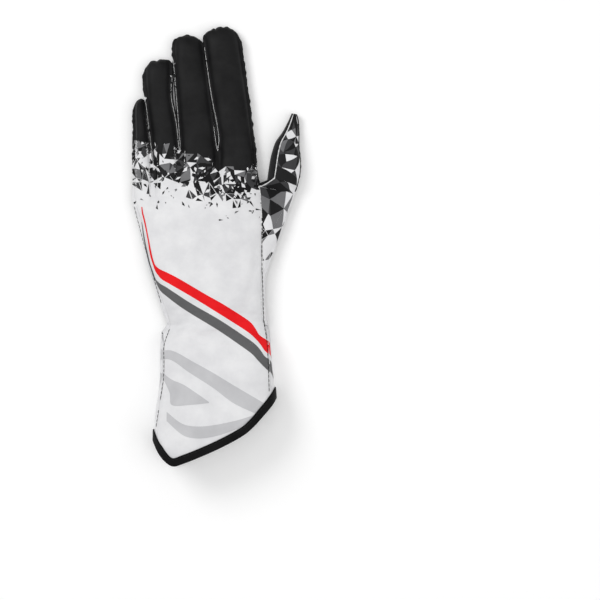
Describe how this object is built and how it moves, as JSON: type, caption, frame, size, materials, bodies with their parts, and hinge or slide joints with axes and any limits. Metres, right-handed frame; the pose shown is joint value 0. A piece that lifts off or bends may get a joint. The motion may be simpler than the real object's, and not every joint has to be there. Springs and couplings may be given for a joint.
{
  "type": "karting glove",
  "caption": "Left-hand driving glove with a long slanted gauntlet cuff, a printed stretch back, a black suede palm and raised grip pads.",
  "frame": {"origin": "underside of the grip pad in the middle of the palm", "axes": "+X towards the thumb side, +Y towards the fingertips, +Z from the palm to the back of the hand"},
  "size_m": [0.1209, 0.3153, 0.0438],
  "materials": {
    "back_cloth": "matt white stretch knit with black fingers, printed shards and diagonal stripes",
    "thumb_cloth": "matt stretch knit printed all over with dark and grey shards",
    "suede": "matt black synthetic suede",
    "gusset_cloth": "matt black knit",
    "cuff_cloth": "matt white stretch knit, gathered at the wrist",
    "binding_tape": "matt black woven tape",
    "silicone": "satin grey silicone"
  },
  "bodies": {
    "root": {"back_panel": "back_cloth", "thumb_back": "thumb_cloth", "palm_panel": "suede", "little_ring_gusset": "gusset_cloth", "ring_middle_gusset": "gusset_cloth", "middle_index_gusset": "gusset_cloth", "cuff_palm_panel": "cuff_cloth", "cuff_binding": "binding_tape", "little_tip_pad": "silicone", "little_middle_pad": "silicone", "little_base_pad": "silicone", "ring_tip_pad": "silicone", "ring_middle_pad": "silicone", "ring_base_pad": "silicone", "middle_tip_pad": "silicone", "middle_middle_pad": "silicone", "middle_base_pad": "silicone", "index_tip_pad": "silicone", "index_middle_pad": "silicone", "index_base_pad": "silicone", "thumb_tip_pad": "silicone", "thumb_middle_pad": "silicone", "palm_centre_pad": "silicone", "palm_knuckle_pad": "silicone", "palm_little_side_pad": "silicone", "palm_little_heel_pad": "silicone", "palm_thumb_heel_pad": "silicone", "palm_thumb_ball_pad": "silicone", "palm_thumb_side_pad": "silicone", "palm_thumb_base_pad": "silicone"}
  },
  "joints": []
}
